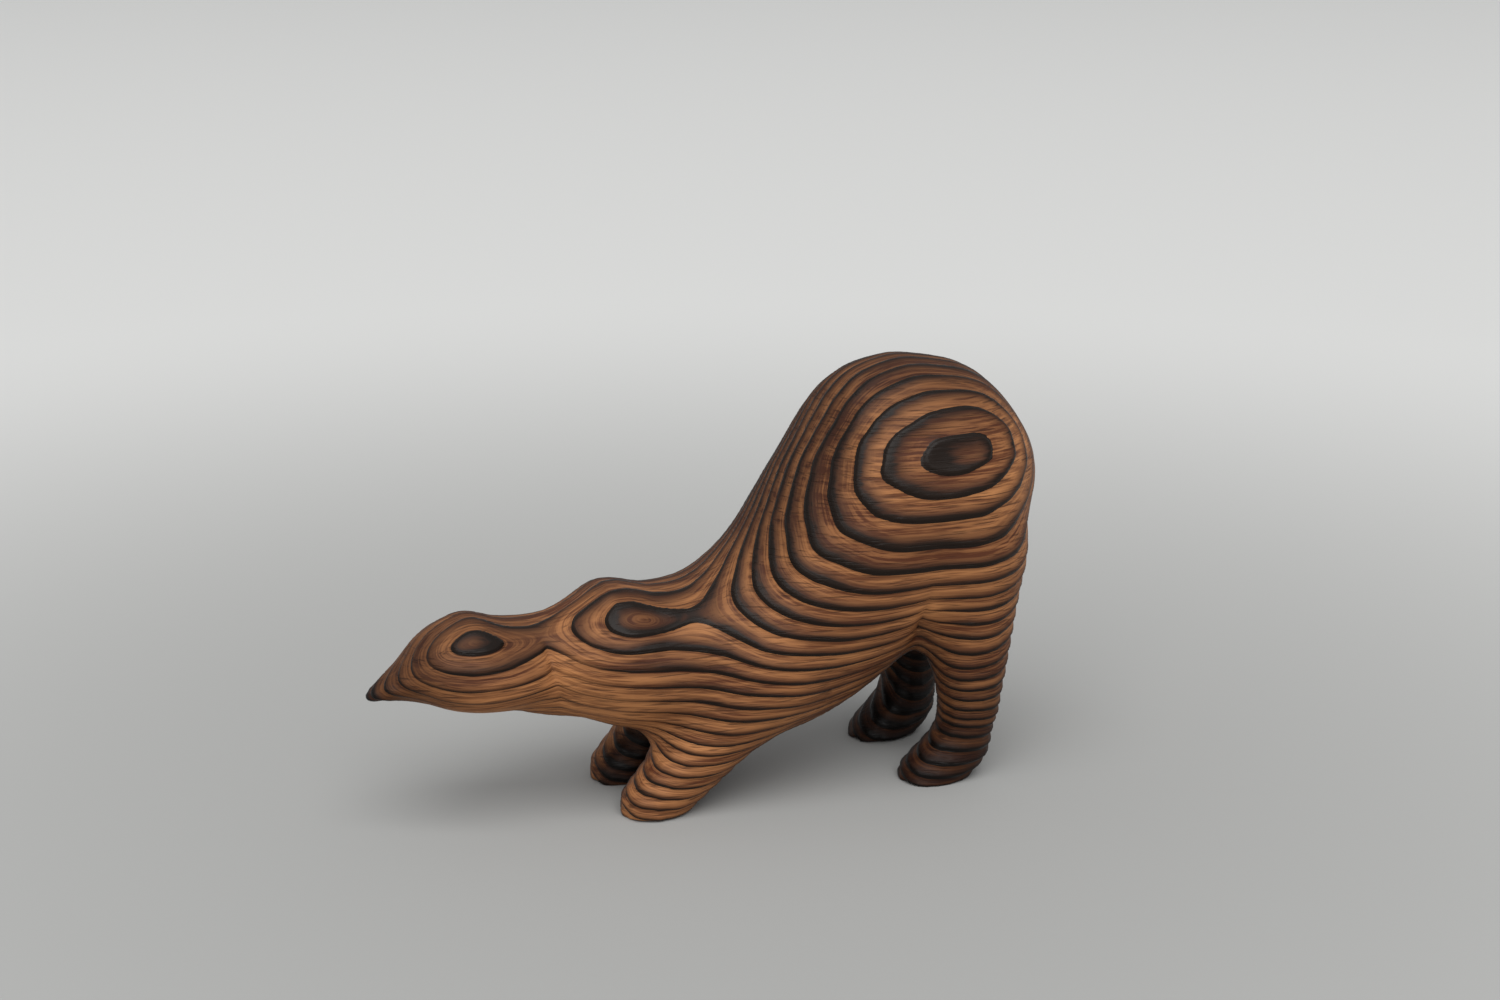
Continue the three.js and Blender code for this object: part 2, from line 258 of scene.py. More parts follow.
# Burning across a ring: unrest of its edge in rings, how far fine and broad fibres shift the burn, and
# the stretches over which the wood turns brown, turns black and is lined at its end. Where the burn is
# light, the line fades.
EDGE_UNREST = 0.09
FINE_SHIFT = 0.42
BROAD_SHIFT = 0.34
TOASTED = (0.34, 0.90)
CHARRED = (0.68, 0.92)
END_LINE = (0.80, 0.93)
LINE_BURN = (-0.35, -0.08)
LINE_SHARES = (0.15, 1.0)

# Clouds in the burn: waves per metre, detail, roughness and share of a ring.
CLOUD_WAVES = (70, 160, 160)
CLOUD_DETAIL = 2.0
CLOUD_ROUGHNESS = 0.5
CLOUD_BURN = 0.28

# How fibres, the year and the burn lighten the early wood, and how much the flecks darken it.
FINE_STREAKS = (0.42, 0.58)
FINE_LIGHT = 0.5
BROAD_STREAKS = (0.34, 0.66)
BROAD_LIGHT = 0.4
YEAR_LIGHT = 0.3
BURN_LIGHT = -0.7
FLECK_SHARE = 0.6

# Gloss: roughness of bare and of burnt wood, what fine fibres add, and the coat of oil.
ROUGHNESS = (0.58, 0.40)
FIBRE_ROUGHNESS = 0.22
COAT_ROUGHNESS = 0.28
SPECULAR_LEVEL = 0.18

# Low relief of the fibres: shares, strength and depth in millimetres.
FINE_HEIGHT = 0.6
BROAD_HEIGHT = 0.5
FLECK_HEIGHT = -0.5
FIBRE_STRENGTH = 0.8
FIBRE_DEPTH = 0.14

# Stage, in metres: the floor and the span over which its painted light grows paler from painted shade
# round the badger, the lamp with its power in watts, the light from all round, and the camera's sensor in
# millimetres.
FLOOR_SIZE = 8.0
FLOOR_PAINTED_LIGHT_SPAN = (0.05, 0.35)
FLOOR_ROUGHNESS = 0.85
LAMP_PLACE = (0.7, 2.0, 3.4)
LAMP_SIZE = 4.0
LAMP_POWER = 150.0
ROOM_LIGHT = (0.84, 0.85, 0.86, 1)
ROOM_STRENGTH = 0.6
SENSOR_WIDTH = 36.0
NEAR_CLIP = 0.01


def tone(code):
    """Linear colour of a six-digit colour code, by the standard curve of screens."""
    parts = [int(code[i : i + 2], 16) / 255 for i in (0, 2, 4)]
    return tuple(c / 12.92 if c <= 0.04045 else ((c + 0.055) / 1.055) ** 2.4 for c in parts)


class BadgerCarving(bpy.types.PropertyGroup):
    """Sizes of the carved surface"""

    pitch: FloatProperty(
        name="Mesh pitch",
        description="Edge length of the carved surface",
        default=0.34 * MM,
        precision=5,
        unit="LENGTH",
    )
    smoothing: IntProperty(
        name="Smoothing rounds",
        description="Rounds of smoothing that take the flats off the block",
        default=7,
    )
    relief: FloatProperty(
        name="Relief depth",
        description="How deep the soft early wood is brushed out below the hard ring ends",
        default=0.30 * MM,
        precision=5,
        unit="LENGTH",
    )
    edge: FloatProperty(
        name="Edge width",
        description="Width of the step at the outer edge of a ring",
        default=0.45 * MM,
        precision=5,
        unit="LENGTH",
    )
    pith: FloatVectorProperty(
        name="Pith",
        description="A point on the pith line of the tree, outside the near flank",
        default=(-38.75 * MM, 28.2 * MM, 55.2 * MM),
        precision=5,
        subtype="TRANSLATION",
        unit="LENGTH",
    )
    grain: FloatVectorProperty(
        name="Grain direction",
        description="Direction of the pith line and of the fibres",
        default=(1.0, 0.01, 0.03),
        subtype="XYZ",
    )


class BadgerFinish(bpy.types.PropertyGroup):
    """Colours and gloss of the burnt and oiled wood"""

    early_light: FloatVectorProperty(
        name="Light early wood",
        description="Palest streaks of the soft early wood",
        default=tone("b87d4e"),
        subtype="COLOR",
        size=3,
    )
    early_deep: FloatVectorProperty(
        name="Deep early wood",
        description="Redder streaks of the soft early wood",
        default=tone("562e1a"),
        subtype="COLOR",
        size=3,
    )
    middle: FloatVectorProperty(
        name="Toasted wood",
        description="Brown between early wood and the burnt ring end",
        default=tone("3d2316"),
        subtype="COLOR",
        size=3,
    )
    late: FloatVectorProperty(
        name="Burnt late wood",
        description="Near-black end of a ring",
        default=tone("1a0f07"),
        subtype="COLOR",
        size=3,
    )
    # Soot colour multiplied over the wood. It also carries painted sheen on the back and crown, and
    # painted shade on the rump's front slope, the hind legs and between the legs.
    soot_shade_and_sheen: FloatVectorProperty(
        name="Soot",
        description="Veil over the back, the nose, the hind legs and between the legs",
        default=tone("6e6053"),
        subtype="COLOR",
        size=3,
    )
    gloss: FloatProperty(
        name="Oil sheen",
        description="Weight of the thin oil coat",
        default=0.03,
        subtype="FACTOR",
    )


class BadgerStage(bpy.types.PropertyGroup):
    """Floor and camera"""

    # Floor painted darker round the badger and paler in the distance: painted shade near, painted light
    # far.
    floor_painted_shade_near: FloatVectorProperty(
        name="Floor",
        description="Floor colour round the badger",
        default=tone("a4a4a2"),
        subtype="COLOR",
        size=3,
    )
    floor_painted_light_far: FloatVectorProperty(
        name="Far floor",
        description="Floor colour in the distance",
        default=tone("d4d4d2"),
        subtype="COLOR",
        size=3,
    )
    lens: FloatProperty(
        name="Lens",
        description="Focal length on a 36 mm wide sensor, in millimetres",
        default=60.0,
    )
    camera: FloatVectorProperty(
        name="Camera",
        description="Place of the camera",
        default=(0.1129, 0.31043, 0.13633),
        subtype="TRANSLATION",
        unit="LENGTH",
    )
    look: FloatVectorProperty(
        name="Camera direction",
        description="Direction that the camera looks along",
        default=(-0.3451, -0.8973, -0.2753),
        subtype="XYZ",
    )


def deselect():
    """Leave edit mode and select nothing."""
    if bpy.context.object and bpy.context.object.mode != "OBJECT":
        bpy.ops.object.mode_set(mode="OBJECT")
    bpy.ops.object.select_all(action="DESELECT")


def take(obj):
    """Make obj the only selected and the active object."""
    deselect()
    obj.select_set(True)
    bpy.context.view_layer.objects.active = obj


def apply_modifier(obj, kind, **settings):
    """Add a modifier with these settings and apply it."""
    take(obj)
    made = obj.modifiers.new(kind.title(), kind)
    for key, value in settings.items():
        setattr(made, key, value)
    bpy.ops.object.modifier_apply(modifier=made.name)


def sink(obj, depths):
    """Sink each vertex into the surface by its own depth in metres."""
    most = float(depths.max())
    group = obj.vertex_groups.new(name="sunk")
    for i, weight in enumerate((depths / most).tolist()):
        group.add((i,), weight, "REPLACE")
    apply_modifier(obj, "DISPLACE", vertex_group=group.name, strength=-most, mid_level=0)
    obj.vertex_groups.clear()


def read(collection, key, width):
    """Numbers of a mesh collection as an array."""
    found = np.empty(len(collection) * width, np.float32)
    collection.foreach_get(key, found)
    return found.reshape(-1, width).astype(float) if width > 1 else found.astype(float)


def ease(span, value):
    """Smooth step from 0 at the start of a span to 1 at its end."""
    low, high = span
    t = np.clip((value - low) / (high - low), 0, 1)
    return t * t * (3 - 2 * t)


def rings(carving, points):
    """Ring number at each point, and the direction in which it grows per metre."""
    axis = np.array(carving.grain, float)
    axis /= np.linalg.norm(axis)
    out = points - np.array(carving.pith, float)
    out -= np.outer(out @ axis, axis)
    radius = np.linalg.norm(out, axis=1)
    outward = out / radius[:, None]
    for x, y, z, reach, longer, lift in RING_SWELLS:
        away = ((points - np.array((x, y, z)) * MM) / (np.array((longer, 1, 1)) * reach * MM)) ** 2
        radius = radius + lift * MM * np.exp(-away.sum(1) / 2)
    years, widths = zip(*RING_YEARS)
    grown = np.cumsum(np.interp(np.arange(years[-1]), years, widths))
    ends = (HEART_RADIUS + np.concatenate(([0], grown))) * MM
    number = np.interp(radius, ends, np.arange(len(ends)))
    turn = np.arctan2(out[:, 2], -out[:, 1]) * TURN_RADIUS * MM
    for lengthwise, round_pith, start, size in RING_WAVES:
        number += size * np.sin(2 * np.pi * (lengthwise * points[:, 0] + round_pith * turn) + start)
    spacing = np.diff(ends)[np.clip(number.astype(int), 0, len(ends) - 2)]
    return number, outward / spacing[:, None]


def near_side(points):
    """The points, with those of the far side mirrored to the near one."""
    return np.abs(points) * (0, 1, 0) + points * (1, 0, 1)


def spread(points, spots):
    """Sum of soft round spots, the same on either side."""
    total = np.zeros(len(points))
    mirrored = near_side(points)
    for x, y, z, reach, amount in spots:
        away = ((mirrored - np.array((x, y, z)) * MM) ** 2).sum(1)
        total += amount * np.exp(-away / (2 * (reach * MM) ** 2))
    return total


def groove(points, crease, width):
    """Depth of a crease in metres at each point, the same on either side."""
    mirrored = near_side(points)
    depth = np.zeros(len(points))
    for start, end in zip(crease, crease[1:]):
        origin = np.array(start[:3]) * MM
        run = np.array(end[:3]) * MM - origin
        t = np.clip((mirrored - origin) @ run / (run @ run), 0, 1)
        away = np.linalg.norm(mirrored - origin - np.outer(t, run), axis=1) / (width * MM)
        deepest = (start[3] + t * (end[3] - start[3])) * MM
        depth = np.maximum(depth, deepest * np.exp(-away))
    return depth


def inner_legs(points, normals):
    """How far each point lies on the inner side of a leg."""
    x, y, z = points.T / MM
    inward = ease(INNER_LEGS_LOOK_IN, -normals[:, 1] * np.sign(y))
    return inward * ease(INNER_LEGS_HEIGHT, z) * ease(INNER_LEGS_LENGTH, x)


def soot_shade_and_sheen_veil(points, normals):
    """Share of soot, painted sheen and painted shade at each point."""
    x, z = points.T[[0, 2]] / MM
    up = normals[:, 2]
    return np.maximum.reduce((
        BACK_PAINTED_SHEEN * ease(BACK_LOOKS_UP, up) * ease(BACK_HEIGHT, z),
        SLOPE_PAINTED_SHADE * ease(SLOPE_LOOKS_OUT, normals @ SLOPE_NORMAL) * ease(SLOPE_HEIGHT, z),
        NOSE_SOOT * ease(NOSE_LENGTH, x + NOSE_SLANT * z),
        CROWN_PAINTED_SHEEN * ease(CROWN_LOOKS_UP, up) * ease(CROWN_LENGTH, x),
        HIND_LEGS_SOOT_AND_SHADE * ease(HIND_LEGS_HEIGHT, z) * ease(HIND_LEGS_LENGTH, x),
        INNER_LEGS_SHADE_AND_SOOT * inner_legs(points, normals),
        spread(points, SOOT_AND_SHEEN_SPOTS),
    ))


def cut(point, normal, faces=None):
    """Cut the active mesh, or only some faces of it, along a plane, drop what lies beyond and close it."""
    mesh = bpy.context.object.data
    chosen = np.ones(len(mesh.polygons), bool) if faces is None else faces
    mesh.vertices.foreach_set("select", np.zeros(len(mesh.vertices), bool))
    mesh.edges.foreach_set("select", np.zeros(len(mesh.edges), bool))
    mesh.polygons.foreach_set("select", chosen)
    bpy.context.tool_settings.mesh_select_mode = (False, False, True)
    bpy.ops.object.mode_set(mode="EDIT")
    bpy.ops.mesh.bisect(
        plane_co=point,
        plane_no=normal,
        use_fill=True,
        clear_outer=True,
        threshold=CUT_JOINS,
    )
    bpy.ops.object.mode_set(mode="OBJECT")


def seat(node):
    """A point on, and the upward normal of, the flat face on which a leg meets the trunk."""
    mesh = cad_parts[node].data
    normals = read(mesh.polygons, "normal", 3)
    centres = read(mesh.polygons, "center", 3)
    areas = read(mesh.polygons, "area", 1)
    flats = np.zeros(len(areas))
    for i in np.flatnonzero(normals[:, 2] > SEAT_LOOKS_UP):
        level = np.abs((centres - centres[i]) @ normals[i]) < SAME_PLANE * MM
        flats[i] = areas[level & (normals @ normals[i] > SAME_NORMAL)].sum()
    best = int(np.argmax(flats))
    return Vector(centres[best]), Vector(normals[best])


def flipped(face):
    """The same face with its normal turned round."""
    return face[0], -face[1]


def keep_skin(mesh):
    """Shade a cut piece as the whole block is shaded, and its cut faces flat."""
    corners = read(mesh.polygons, "loop_total", 1).astype(int)
    skin = read(mesh.attributes["skin"].data, "vector", 3)
    normals = skin[read(mesh.loops, "vertex_index", 1).astype(int)]
    flat = np.repeat(corners > SKIN_CORNERS, corners)
    normals[flat] = np.repeat(read(mesh.polygons, "normal", 3), corners, axis=0)[flat]
    mesh.attributes.remove(mesh.attributes["skin"])
    mesh.polygons.foreach_set("use_smooth", corners <= SKIN_CORNERS)
    mesh.normals_split_custom_set(normals)


def member(name, cuts):
    """One member of the carving, cut from the finished block."""
    take(bpy.data.objects[BLOCK])
    bpy.ops.object.duplicate()
    piece = bpy.context.object
    piece.name = piece.data.name = "carved_" + name
    for point, normal, side in cuts:
        faces = None
        if side is not None:
            faces = side(read(piece.data.polygons, "center", 3))
        cut(point, normal, faces)
    keep_skin(piece.data)
    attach(piece, BODY)
    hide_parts(name)


def legs_apart():
    """Place along X between the forelegs and the hind legs."""
    return (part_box("left_foreleg")[0].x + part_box("left_hind_leg")[1].x) / 2


def leg_pair(names):
    """A left and a right leg, each cut off at its seat and kept apart from the other three."""
    ahead = 1 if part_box(names[0])[0].x > legs_apart() else -1
    for name in names:
        point, normal = seat(name)
        side = 1 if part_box(name)[1].y > -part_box(name)[0].y else -1
        member(name, (
            (point, normal, None),
            (Vector((legs_apart(), 0, 0)), Vector((-ahead, 0, 0)), None),
            (Vector(), Vector((0, -side, 0)), None),
        ))


class BADGER_OT_block(bpy.types.Operator):
    """Join the solids into one smooth block and brush the growth rings into relief"""

    bl_idname = "badger.block"
    bl_label = "Carved block"

    def execute(self, context):
        carving = context.scene.badger_carving
        deselect()
        for name in MEMBERS:
            copy = bpy.data.objects.new(BLOCK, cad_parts[name].data.copy())
            context.scene.collection.objects.link(copy)
            copy.select_set(True)
            context.view_layer.objects.active = copy
        bpy.ops.object.join()
        block = context.object
        block.name = block.data.name = BLOCK
        bpy.ops.object.mode_set(mode="EDIT")
        bpy.ops.mesh.select_all(action="SELECT")
        bpy.ops.mesh.remove_doubles(threshold=WELD * MM)
        bpy.ops.object.mode_set(mode="OBJECT")
        apply_modifier(block, "REMESH", mode="VOXEL", voxel_size=carving.pitch)
        for _ in range(carving.smoothing):
            for factor, passes in SMOOTHING:
                apply_modifier(block, "SMOOTH", factor=factor, iterations=passes)
        self.crease(block)
        self.brush(block, carving)
        block.data.materials.clear()
        block.data.materials.append(burnt_softwood(context.scene.badger_finish))
        return {"FINISHED"}

    def crease(self, block):
        """Sink the creases behind the cheeks and in the groins."""
        points = read(block.data.vertices, "co", 3)
        sink(block, sum(groove(points, crease, width) for crease, width in CREASES))

    def brush(self, block, carving):
        """Store ring numbers, burn and soot with their painted light and shade, and take the early wood
        down between the ring ends.
        """
        mesh = block.data
        points = read(mesh.vertices, "co", 3)
        normals = read(mesh.vertices, "normal", 3)
        number, growth = rings(carving, points)
        # The burn carries painted highlights along the creases and painted shade on the inner legs, the
        # front of the rump and the hind feet. The soot carries painted sheen and shade.
        burn_and_painted_light = spread(points, BURN_AND_PAINTED_LIGHT_SPOTS) + INNER_LEGS_SHADE_BURN * inner_legs(points, normals)
        soot_shade_and_sheen = soot_shade_and_sheen_veil(points, normals)
        for label, values in (("ring", number), ("burn_and_painted_light", burn_and_painted_light), ("soot_shade_and_sheen", soot_shade_and_sheen)):
            made = mesh.attributes.new(label, "FLOAT", "POINT")
            made.data.foreach_set("value", values.astype(np.float32))
        along = growth - normals * (growth * normals).sum(1)[:, None]
        steep = np.linalg.norm(along, axis=1)
        phase = number % 1
        edge = np.clip(carving.edge * steep, *EDGE_SHARES)
        height = SOFT_HEIGHT + (1 - SOFT_HEIGHT) * ease(RISE, phase)
        height *= 1 - ease((1 - edge, 1), phase)
        height = np.maximum(height, SOFT_HEIGHT * ease((0, edge), phase))
        width = 1 / np.maximum(steep, 1)
        depth = np.clip(width / (DEEP_WIDTH * MM), *WIDTH_DEPTHS)
        depth *= np.clip(1 + BURN_DEEPENS * burn_and_painted_light, *BURN_DEPTHS)
        sink(block, (1 - height) * depth * carving.relief)
        skin = mesh.attributes.new("skin", "FLOAT_VECTOR", "POINT")
        skin.data.foreach_set("vector", read(mesh.vertices, "normal", 3).astype(np.float32).ravel())


class BADGER_OT_trunk(bpy.types.Operator):
    """Cut the trunk from the block, free of the head and the legs"""

    bl_idname = "badger.trunk"
    bl_label = "Trunk"

    def execute(self, context):
        apart = legs_apart()
        member("trunk", (
            (Vector((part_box("head")[0].x, 0, 0)), Vector((1, 0, 0)), None),
            (*flipped(seat("left_foreleg")), lambda c: c[:, 0] > apart),
            (*flipped(seat("left_hind_leg")), lambda c: c[:, 0] < apart),
        ))
        return {"FINISHED"}


class BADGER_OT_head(bpy.types.Operator):
    """Cut the head from the block at the neck"""

    bl_idname = "badger.head"
    bl_label = "Head"

    def execute(self, context):
        member("head", ((Vector((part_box("head")[0].x, 0, 0)), Vector((-1, 0, 0)), None),))
        return {"FINISHED"}


class BADGER_OT_forelegs(bpy.types.Operator):
    """Cut the two forelegs from the block"""

    bl_idname = "badger.forelegs"
    bl_label = "Forelegs"

    def execute(self, context):
        leg_pair(("left_foreleg", "right_foreleg"))
        return {"FINISHED"}


class BADGER_OT_hind_legs(bpy.types.Operator):
    """Cut the two hind legs from the block"""

    bl_idname = "badger.hind_legs"
    bl_label = "Hind legs"

    def execute(self, context):
        leg_pair(("left_hind_leg", "right_hind_leg"))
        return {"FINISHED"}


class Wiring:
    """A node tree with short calls for its nodes and links."""

    def __init__(self, tree):
        self.tree = tree
        tree.nodes.clear()

    def add(self, kind, inputs=(), **settings):
        """A node with settings, its inputs set or linked by name or index."""
        made = self.tree.nodes.new(kind)
        for key, value in settings.items():
            setattr(made, key, value)
        for key, value in dict(inputs).items():
            self.give(made, key, value)
        return made

    def give(self, node, key, value):
        """Set or link one input of a node."""
        if isinstance(value, bpy.types.NodeSocket):
            self.tree.links.new(value, node.inputs[key])
        else:
            node.inputs[key].default_value = value

    def math(self, operation, first, second=0.0, third=0.0, clamp=False):
        """Result of one sum."""
        inputs = {0: first, 1: second, 2: third}
        return self.add("ShaderNodeMath", inputs, operation=operation, use_clamp=clamp).outputs[0]

    def centred(self, value):
        """Value from 0 to 1 moved to lie round 0."""
        return self.math("SUBTRACT", value, 0.5)

    def ramp(self, value, span, shares=(0.0, 1.0)):
        """Value eased from the first share to the second over a span."""
        inputs = {"Value": value, "From Min": span[0], "From Max": span[1]}
        inputs.update({"To Min": shares[0], "To Max": shares[1]})
        return self.add("ShaderNodeMapRange", inputs, interpolation_type="SMOOTHSTEP").outputs["Result"]

    def noise(self, vector, detail, rough):
        """Value of a cloudy pattern with one wave per unit."""
        inputs = {"Vector": vector, "Scale": 1.0, "Detail": detail, "Roughness": rough}
        return self.add("ShaderNodeTexNoise", inputs).outputs[0]

    def stretch(self, vector, scale):
        """Coordinates scaled along each axis."""
        return self.add("ShaderNodeMapping", {"Vector": vector, "Scale": scale}).outputs[0]

    def stored(self, label):
        """Value stored on the surface."""
        return self.add("ShaderNodeAttribute", attribute_name=label).outputs["Fac"]

    def blend(self, factor, first, second):
        """Two values mixed."""
        return self.add("ShaderNodeMix", {0: factor, 2: first, 3: second}, data_type="FLOAT").outputs[0]

    def mix(self, factor, first, second, blend="MIX"):
        """Two colours mixed."""
        inputs = {0: factor, 6: first, 7: second}
        return self.add("ShaderNodeMix", inputs, data_type="RGBA", blend_type=blend).outputs[2]


def opaque(colour):
    """Colour with full alpha."""
    return (*colour, 1)


def new_group(name, takes, gives):
    """An empty node group with named inputs and outputs, and its wiring."""
    tree = bpy.data.node_groups.new(name, "ShaderNodeTree")
    wiring = Wiring(tree)
    for label, kind in takes:
        tree.interface.new_socket(label, in_out="INPUT", socket_type=kind)
    for label, kind in gives:
        tree.interface.new_socket(label, in_out="OUTPUT", socket_type=kind)
    return tree, wiring, wiring.add("NodeGroupInput"), wiring.add("NodeGroupOutput")


def fibre_group():
    """Fibres: fine streaks, broad streaks and dark flecks, on the sides and on top."""
    tree, w, taken, given = new_group(
        "Fibres",
        [("Place", "NodeSocketVector"), ("Upward", "NodeSocketFloat"), ("Ring", "NodeSocketFloat")],
        [("Fine", "NodeSocketFloat"), ("Broad", "NodeSocketFloat"), ("Fleck", "NodeSocketFloat")],
    )
    place = taken.outputs["Place"]
    ring = taken.outputs["Ring"]
    spot = w.add("ShaderNodeSeparateXYZ", {0: place})
    layer = w.add("ShaderNodeCombineXYZ", {
        "X": w.math("MULTIPLY", spot.outputs["X"], STREAKS_LENGTHWISE),
        "Y": w.math("MULTIPLY", spot.outputs["Z"], STREAKS_UPWARDS),
        "Z": w.math("MULTIPLY", ring, STREAKS_PER_RING),
    })
    layers = w.noise(layer.outputs[0], STREAK_DETAIL, STREAK_ROUGHNESS)
    found = {}
    for label, ((lengthwise, across, through), detail, rough) in FIBRES.items():
        side = w.noise(w.stretch(place, (lengthwise, across, through)), detail, rough)
        top = w.noise(w.stretch(place, (lengthwise, through, across)), detail, rough)
        found[label] = w.blend(taken.outputs["Upward"], side, top)
    found["Fine"] = w.blend(w.ramp(ring, STREAK_RINGS, STREAK_SHARES), found["Fine"], layers)
    found["Fleck"] = w.ramp(found["Fleck"], FLECKS)
    for label, value in found.items():
        w.give(given, label, value)
    return tree


def ring_group():
    """Growth rings: how burnt the wood is across a ring, and a tone of its own for each year."""
    tree, w, taken, given = new_group(
        "Growth rings",
        [(label, "NodeSocketFloat") for label in ("Ring", "Fine", "Broad", "Burn")],
        [(label, "NodeSocketFloat") for label in ("Toast", "Char", "Year")],
    )
    fine = w.centred(taken.outputs["Fine"])
    broad = w.centred(taken.outputs["Broad"])
    burn_and_painted_light = taken.outputs["Burn"]
    edge = w.math("MULTIPLY_ADD", fine, EDGE_UNREST, taken.outputs["Ring"])
    phase = w.math("FRACT", edge)
    shifted = w.math("MULTIPLY_ADD", fine, FINE_SHIFT, phase)
    shifted = w.math("MULTIPLY_ADD", broad, BROAD_SHIFT, shifted)
    shifted = w.math("ADD", burn_and_painted_light, shifted)
    line = w.math("MULTIPLY", w.ramp(phase, END_LINE), w.ramp(burn_and_painted_light, LINE_BURN, LINE_SHARES))
    year = w.add("ShaderNodeTexWhiteNoise", {"W": w.math("FLOOR", edge)}, noise_dimensions="1D")
    w.give(given, "Toast", w.ramp(shifted, TOASTED))
    w.give(given, "Char", w.math("MAXIMUM", w.ramp(shifted, CHARRED), line))
    w.give(given, "Year", year.outputs["Value"])
    return tree


def burnt_softwood(finish):
    """Burnt, brushed and oiled softwood."""
    material = bpy.data.materials.new("burnt softwood")
    material.use_nodes = True
    w = Wiring(material.node_tree)
    surface = w.add("ShaderNodeTexCoord")
    place = surface.outputs["Object"]
    facing = w.add("ShaderNodeSeparateXYZ", {0: surface.outputs["Normal"]}).outputs["Z"]
    upward = w.ramp(w.math("ABSOLUTE", facing), TOP_FACING)
    ring = w.stored("ring")
    fibres = w.add(
        "ShaderNodeGroup",
        {"Place": place, "Upward": upward, "Ring": ring},
        node_tree=fibre_group(),
    )
    fine, broad, fleck = (fibres.outputs[label] for label in ("Fine", "Broad", "Fleck"))
    cloud = w.centred(w.noise(w.stretch(place, CLOUD_WAVES), CLOUD_DETAIL, CLOUD_ROUGHNESS))
    burn_and_painted_light = w.math("MULTIPLY_ADD", cloud, CLOUD_BURN, w.stored("burn_and_painted_light"))
    growth = w.add(
        "ShaderNodeGroup",
        {"Ring": ring, "Fine": fine, "Broad": broad, "Burn": burn_and_painted_light},
        node_tree=ring_group(),
    )
    toast, char, year = (growth.outputs[label] for label in ("Toast", "Char", "Year"))
    light = w.math("MULTIPLY", w.ramp(fine, FINE_STREAKS), FINE_LIGHT)
    light = w.math("MULTIPLY_ADD", w.ramp(broad, BROAD_STREAKS), BROAD_LIGHT, light)
    light = w.math("MULTIPLY_ADD", w.centred(year), YEAR_LIGHT, light)
    light = w.math("MULTIPLY_ADD", burn_and_painted_light, BURN_LIGHT, light, clamp=True)
    wood = w.mix(light, opaque(finish.early_deep), opaque(finish.early_light))
    wood = w.mix(w.math("MULTIPLY", fleck, FLECK_SHARE), wood, opaque(finish.middle))
    wood = w.mix(toast, wood, opaque(finish.middle))
    wood = w.mix(char, wood, opaque(finish.late))
    # Soot veil multiplied over the wood: soot, with painted sheen on the back and crown and painted shade
    # on the slope, the hind legs and between the legs.
    wood = w.mix(w.stored("soot_shade_and_sheen"), wood, opaque(finish.soot_shade_and_sheen), blend="MULTIPLY")
    rough = w.ramp(char, (0.0, 1.0), ROUGHNESS)
    rough = w.math("MULTIPLY_ADD", w.centred(fine), FIBRE_ROUGHNESS, rough)
    height = w.math("MULTIPLY_ADD", fine, FINE_HEIGHT, w.math("MULTIPLY", fleck, FLECK_HEIGHT))
    height = w.math("MULTIPLY_ADD", broad, BROAD_HEIGHT, height)
    bump = w.add("ShaderNodeBump", {
        "Strength": FIBRE_STRENGTH,
        "Distance": FIBRE_DEPTH * MM,
        "Height": height,
    })
    shader = w.add("ShaderNodeBsdfPrincipled", {
        "Base Color": wood,
        "Roughness": rough,
        "Normal": bump.outputs[0],
        "Coat Weight": finish.gloss,
        "Coat Roughness": COAT_ROUGHNESS,
        "Specular IOR Level": SPECULAR_LEVEL,
    })
    w.add("ShaderNodeOutputMaterial", {"Surface": shader.outputs[0]})
    return material


def floor_with_painted_light(stage):
    """Pale matt floor, painted darker round the badger and paler in the distance: painted shade and
    painted light.
    """
    material = bpy.data.materials.new("pale floor")
    material.use_nodes = True
    w = Wiring(material.node_tree)
    place = w.add("ShaderNodeTexCoord").outputs["Object"]
    reach = w.add("ShaderNodeVectorMath", {0: place}, operation="LENGTH").outputs["Value"]
    # Painted shade near the badger fading to painted light in the distance.
    paint = w.mix(w.ramp(reach, FLOOR_PAINTED_LIGHT_SPAN), opaque(stage.floor_painted_shade_near), opaque(stage.floor_painted_light_far))
    shader = w.add("ShaderNodeBsdfPrincipled", {"Base Color": paint, "Roughness": FLOOR_ROUGHNESS})
    w.add("ShaderNodeOutputMaterial", {"Surface": shader.outputs[0]})
    return material


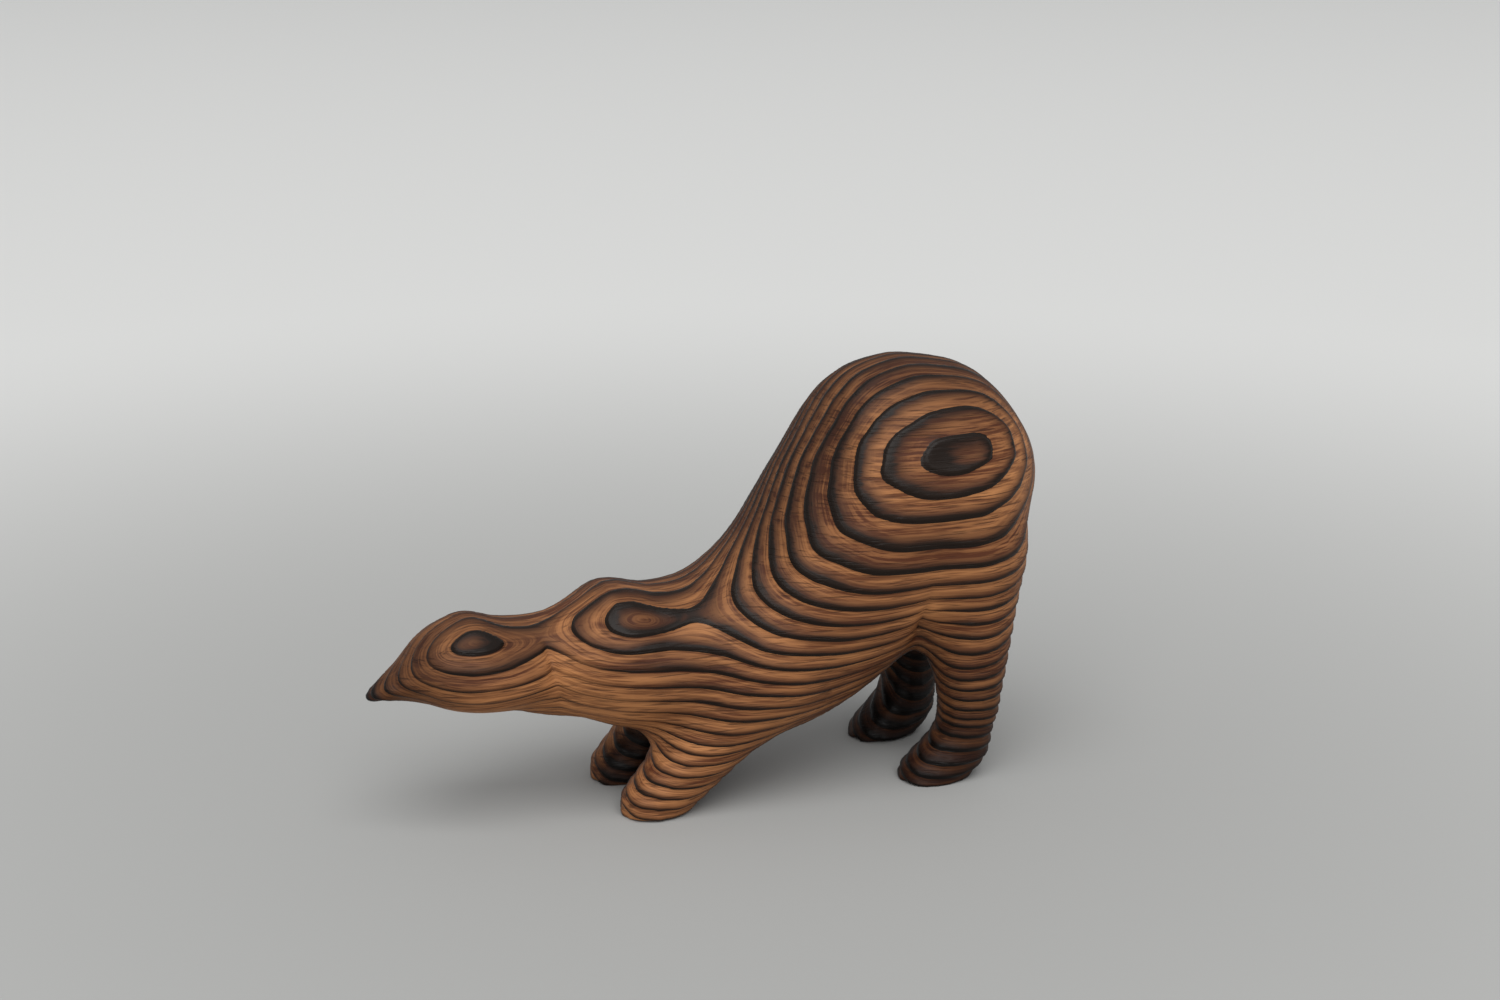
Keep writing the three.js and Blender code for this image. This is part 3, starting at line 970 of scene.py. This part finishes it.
class BADGER_OT_stage(bpy.types.Operator):
    """Set up the pale floor, the soft lamp and the camera"""

    bl_idname = "badger.stage"
    bl_label = "Stage"

    def execute(self, context):
        scene = context.scene
        stage = scene.badger_stage
        deselect()
        bpy.ops.mesh.primitive_plane_add(size=FLOOR_SIZE)
        floor = context.object
        floor.name = "floor"
        floor.data.materials.append(floor_with_painted_light(stage))
        self.lamp()
        world = bpy.data.worlds.new("studio")
        world.use_nodes = True
        back = world.node_tree.nodes["Background"]
        back.inputs["Color"].default_value = ROOM_LIGHT
        back.inputs["Strength"].default_value = ROOM_STRENGTH
        scene.world = world
        bpy.ops.object.camera_add(location=stage.camera)
        camera = context.object
        camera.rotation_euler = Vector(stage.look).to_track_quat("-Z", "Y").to_euler()
        camera.data.lens = stage.lens
        camera.data.sensor_width = SENSOR_WIDTH
        camera.data.clip_start = NEAR_CLIP
        scene.camera = camera
        scene.view_settings.view_transform = "Standard"
        return {"FINISHED"}

    def lamp(self):
        """A square soft lamp that faces the middle of the badger."""
        bpy.ops.object.light_add(type="AREA", location=LAMP_PLACE)
        lamp = bpy.context.object
        lamp.name = "key"
        middle = (CAD_LOW + CAD_HIGH) / 2
        lamp.rotation_euler = (middle - Vector(LAMP_PLACE)).to_track_quat("-Z", "Y").to_euler()
        lamp.data.size = LAMP_SIZE
        lamp.data.energy = LAMP_POWER


class BADGER_PT_panel(bpy.types.Panel):
    """Sizes, colours and pieces of the badger"""

    bl_idname = "BADGER_PT_panel"
    bl_label = "Badger figurine"
    bl_space_type = "VIEW_3D"
    bl_region_type = "UI"
    bl_category = "Badger"

    def draw(self, context):
        scene = context.scene
        for group in (scene.badger_carving, scene.badger_finish, scene.badger_stage):
            box = self.layout.box()
            for key in group.__annotations__:
                box.prop(group, key)
        for operator in OPERATORS:
            self.layout.operator(operator.bl_idname)


OPERATORS = (
    BADGER_OT_block,
    BADGER_OT_trunk,
    BADGER_OT_head,
    BADGER_OT_forelegs,
    BADGER_OT_hind_legs,
    BADGER_OT_stage,
)
CLASSES = (BadgerCarving, BadgerFinish, BadgerStage, *OPERATORS, BADGER_PT_panel)


def register():
    for made in CLASSES:
        bpy.utils.register_class(made)
    bpy.types.Scene.badger_carving = PointerProperty(type=BadgerCarving)
    bpy.types.Scene.badger_finish = PointerProperty(type=BadgerFinish)
    bpy.types.Scene.badger_stage = PointerProperty(type=BadgerStage)


def unregister():
    del bpy.types.Scene.badger_stage
    del bpy.types.Scene.badger_finish
    del bpy.types.Scene.badger_carving
    for made in reversed(CLASSES):
        bpy.utils.unregister_class(made)


def main():
    register()
    bpy.ops.badger.block()
    bpy.ops.badger.trunk()
    bpy.ops.badger.head()
    bpy.ops.badger.forelegs()
    bpy.ops.badger.hind_legs()
    bpy.data.objects.remove(bpy.data.objects[BLOCK])
    bpy.ops.badger.stage()


if __name__ == "__main__":
    main()
